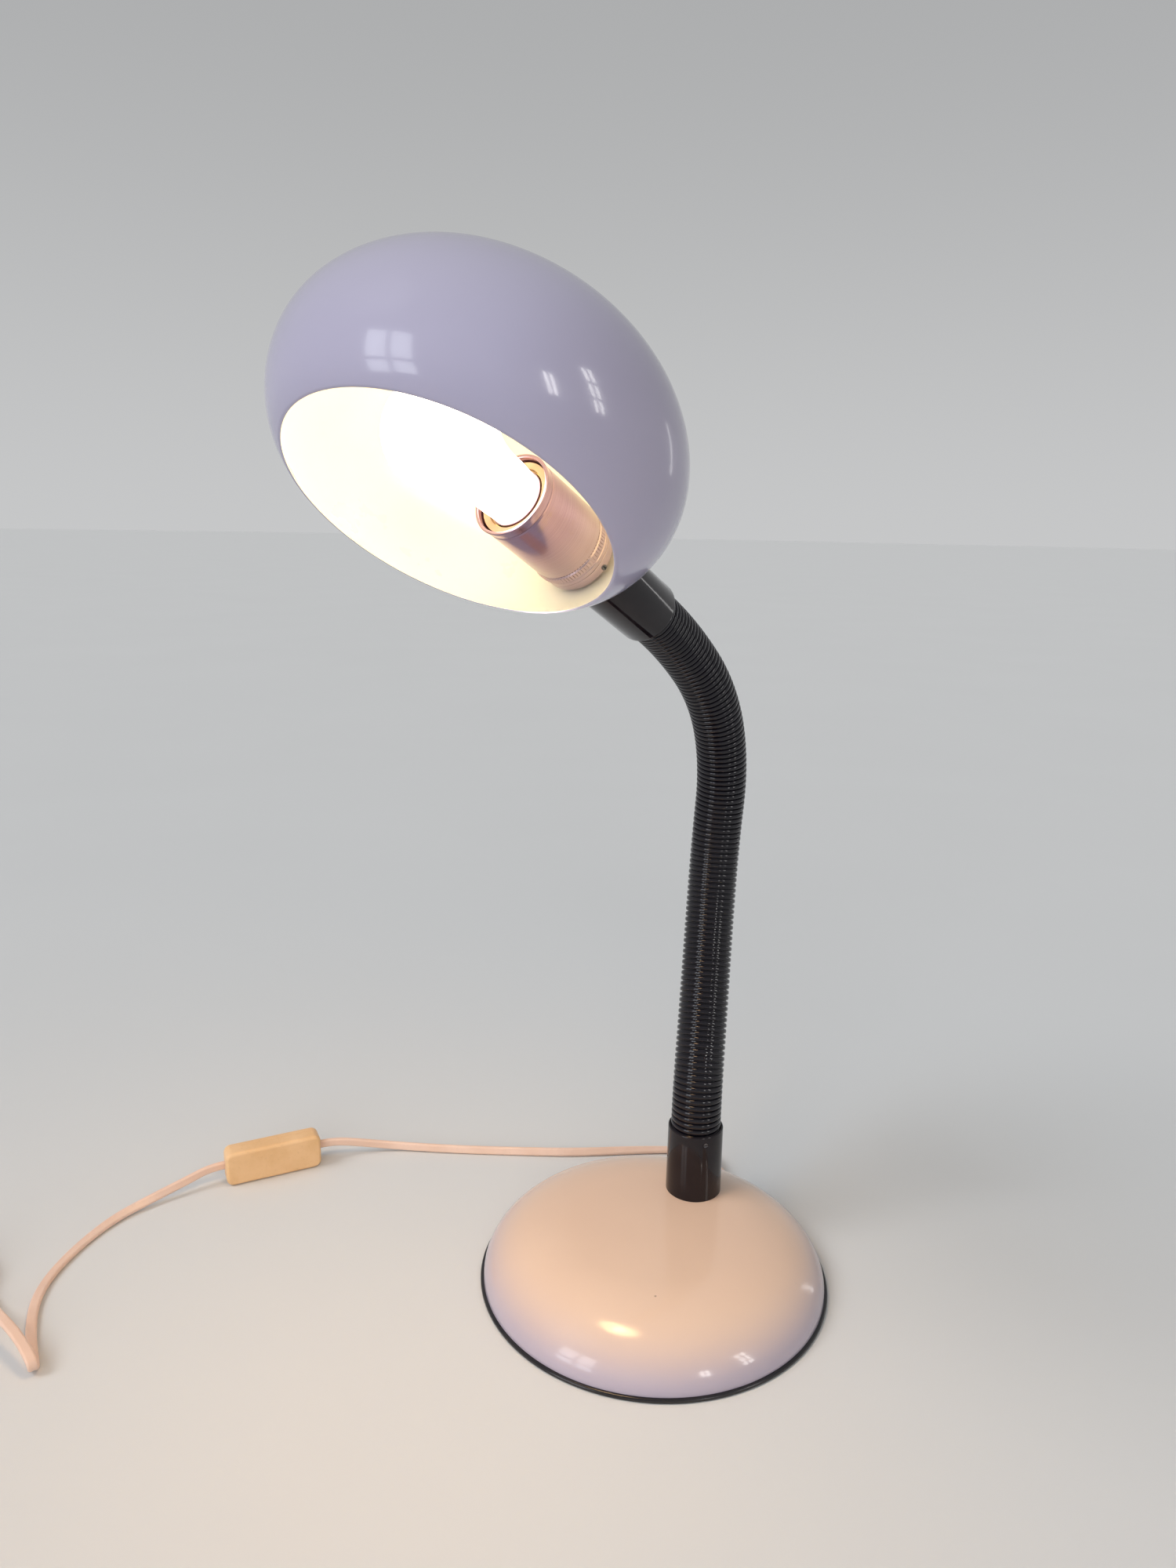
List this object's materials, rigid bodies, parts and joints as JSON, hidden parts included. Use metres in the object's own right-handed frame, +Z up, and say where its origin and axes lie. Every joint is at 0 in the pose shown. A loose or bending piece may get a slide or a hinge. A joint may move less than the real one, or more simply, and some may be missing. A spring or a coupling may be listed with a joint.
{
  "type": "gooseneck desk lamp",
  "caption": "Desk lamp with an enamelled globe shade on a ribbed flexible neck, a weighted round base, and a cord with an in-line rocker switch.",
  "frame": {"origin": "centre of the base on the surface that it stands on", "axes": "+Z up; the neck stands on the +Y side of the base and the head reaches over the -Y side, the front; +X is the right side seen from the front's far side, so the cord leaves the back and lies to -X"},
  "size_m": [0.4317, 0.4268, 0.5049],
  "materials": {
    "white_enamel": "gloss",
    "gloss_black": "gloss",
    "satin_black": "satin",
    "black_plastic": "satin",
    "felt": "felt",
    "fibreboard": "matt",
    "iron": "cast",
    "steel": "zinc plated",
    "spring_steel": "bright",
    "alloy": "satin",
    "flex_sheath": "matt",
    "cord_white": "satin",
    "cream_plastic": "satin",
    "brass": "bright",
    "ceramic": "glazed",
    "bulb_glass": "frosted"
  },
  "bodies": {
    "base": {"base_shell": "white_enamel", "base_trim": "black_plastic", "base_pad": "felt", "bottom_cover": "fibreboard", "ballast": "iron", "stud_nuts": "steel", "foot_stem": "steel", "foot_boss": "alloy", "foot_nut": "steel", "foot_collar": "gloss_black", "foot_grub_screw": "steel", "cord_bush": "cord_white", "cord_clamp": "black_plastic", "clamp_screws": "steel", "neck_core_0": "spring_steel", "flex_0": "flex_sheath", "neck_sleeve_1": "satin_black", "lead_to_switch": "cord_white", "lead_to_plug": "cord_white", "cord_coil": "cord_white", "switch_base": "cream_plastic", "switch_cover": "cream_plastic", "switch_contacts": "brass", "switch_screws": "steel", "plug_body": "cord_white", "plug_pins": "brass"},
    "link_1": {"neck_core_1": "spring_steel", "flex_1": "flex_sheath", "neck_sleeve_2": "satin_black"},
    "link_2": {"neck_core_2": "spring_steel", "flex_2": "flex_sheath", "neck_sleeve_3": "satin_black"},
    "link_3": {"neck_core_3": "spring_steel", "flex_3": "flex_sheath", "neck_sleeve_4": "satin_black"},
    "link_4": {"neck_core_4": "spring_steel", "flex_4": "flex_sheath", "neck_sleeve_5": "satin_black"},
    "link_5": {"neck_core_5": "spring_steel", "flex_5": "flex_sheath", "neck_sleeve_6": "satin_black"},
    "head": {"neck_core_6": "spring_steel", "flex_6": "flex_sheath", "head_collar": "gloss_black", "head_boss": "alloy", "head_stem": "steel", "shade": "white_enamel", "shade_spacer": "alloy", "stem_nut": "steel", "holder_cap": "alloy", "holder_mantle": "alloy", "holder_insert": "ceramic", "screw_shell": "brass", "centre_contact": "brass", "holder_screws": "steel"},
    "bulb": {"bulb_glass": "bulb_glass", "bulb_cap": "alloy", "bulb_contact": "brass"},
    "rocker": {"switch_rocker": "cream_plastic"}
  },
  "joints": [
    {"name": "neck_sway_1", "type": "hinge", "parent": "base", "child": "link_1", "pos_m": [-0.00459, 0.0538, 0.11483], "axis": [0.0443, 0.9007, -0.4323], "range_deg": [-22, 22], "deforming": ["neck_sleeve_1"]},
    {"name": "neck_bend_2", "type": "hinge", "parent": "link_1", "child": "link_2", "pos_m": [-0.01313, 0.07275, 0.15664], "axis": [0.9844, 0.0351, 0.1724], "range_deg": [-22, 22], "deforming": ["neck_sleeve_2"]},
    {"name": "neck_sway_3", "type": "hinge", "parent": "link_2", "child": "link_3", "pos_m": [-0.01884, 0.08646, 0.20083], "axis": [0.011, 0.9785, -0.2058], "range_deg": [-22, 22], "deforming": ["neck_sleeve_3"]},
    {"name": "neck_bend_4", "type": "hinge", "parent": "link_3", "child": "link_4", "pos_m": [-0.01857, 0.09071, 0.24718], "axis": [0.9965, -0.0103, -0.0825], "range_deg": [-22, 22], "deforming": ["neck_sleeve_4"]},
    {"name": "neck_sway_5", "type": "hinge", "parent": "link_4", "child": "link_5", "pos_m": [-0.01602, 0.08043, 0.29235], "axis": [0.034, 0.9124, 0.4078], "range_deg": [-22, 22], "deforming": ["neck_sleeve_5"]},
    {"name": "neck_bend_6", "type": "hinge", "parent": "link_5", "child": "head", "pos_m": [-0.01881, 0.05425, 0.33054], "axis": [0.9896, -0.1097, 0.0929], "range_deg": [-22, 22], "deforming": ["neck_sleeve_6"]},
    {"name": "bulb_slide", "type": "slide", "parent": "head", "child": "bulb", "axis": [-0.0723, -0.8766, 0.4758], "range_m": [0, 0.027]},
    {"name": "rocker_tilt", "type": "hinge", "parent": "base", "child": "rocker", "pos_m": [-0.24773, -0.05699, 0.011], "axis": [0, 0, -1], "range_deg": [0, 14]}
  ]
}
